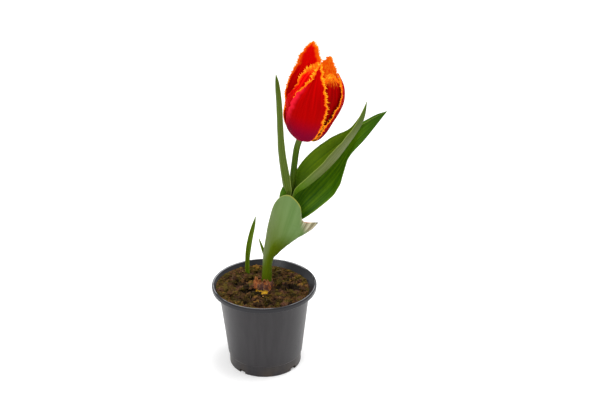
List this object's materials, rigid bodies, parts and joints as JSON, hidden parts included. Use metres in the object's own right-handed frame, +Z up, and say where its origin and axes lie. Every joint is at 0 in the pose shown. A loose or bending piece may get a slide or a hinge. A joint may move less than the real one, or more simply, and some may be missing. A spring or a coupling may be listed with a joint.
{
  "type": "potted tulip",
  "caption": "Fringed tulip with a cup-shaped bloom on a leaning stem, long folded leaves and side shoots, growing from a half-buried bulb in a round tapered pot filled with soil.",
  "frame": {"origin": "centre of the pot's underside, on the plane it stands on", "axes": "+Z up; the side seen in the picture faces -Y; +X is to the right in the picture"},
  "size_m": [0.1488, 0.09, 0.2868],
  "materials": {
    "pot": "satin black-grey plastic sheet",
    "soil": "moist potting mix",
    "bulb": "bare ochre bulb flesh",
    "skin": "dry reddish-brown papery skin",
    "leaf": "satin green leaf",
    "leaf_bluish": "leaf with a pale bluish bloom",
    "petal": "silky red petal with an orange fringe",
    "flower_heart": "yellow-green ovary and stamens"
  },
  "bodies": {
    "root": {"pot": "pot", "soil": "soil", "bulb": "bulb", "bulb_skin": "skin", "stem": "leaf", "leaf_lower": "leaf_bluish", "leaf_right_back": "leaf", "leaf_right_front": "leaf", "leaf_left": "leaf", "shoot_left": "leaf", "shoot_behind": "leaf", "petal_outer_front": "petal", "petal_outer_right": "petal", "petal_outer_back": "petal", "petal_inner_right": "petal", "petal_inner_left": "petal", "petal_inner_back": "petal", "flower_heart": "flower_heart"}
  },
  "joints": []
}
